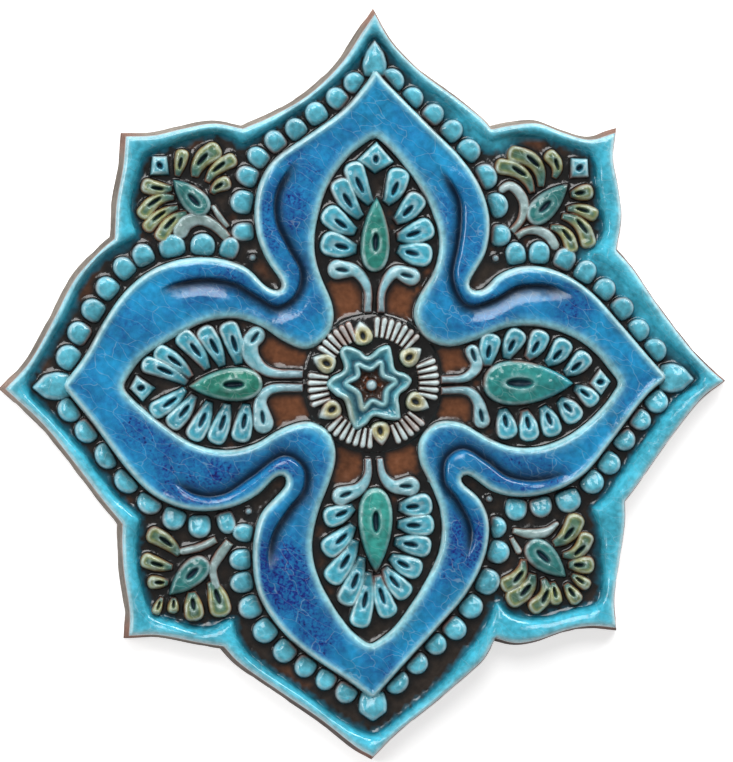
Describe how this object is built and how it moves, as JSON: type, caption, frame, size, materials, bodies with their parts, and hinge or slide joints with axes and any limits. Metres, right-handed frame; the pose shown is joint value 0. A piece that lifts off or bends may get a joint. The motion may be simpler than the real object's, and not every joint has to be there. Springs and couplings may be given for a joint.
{
  "type": "relief wall tile",
  "caption": "Eight-pointed press-moulded relief tile of fired clay, glazed turquoise, with a four-lobed band, beads, palmettes and a centre rosette.",
  "frame": {"origin": "middle of the flat back, under the centre of the tile's outline", "axes": "+Z out of the decorated face, +Y towards the top point, +X to the right when the face is looked at"},
  "size_m": [0.2952, 0.3044, 0.0196],
  "materials": {
    "glaze": "glossy turquoise and cobalt glaze, running thin to brown on the ground and the sides"
  },
  "bodies": {
    "root": {"tile": "glaze"}
  },
  "joints": []
}
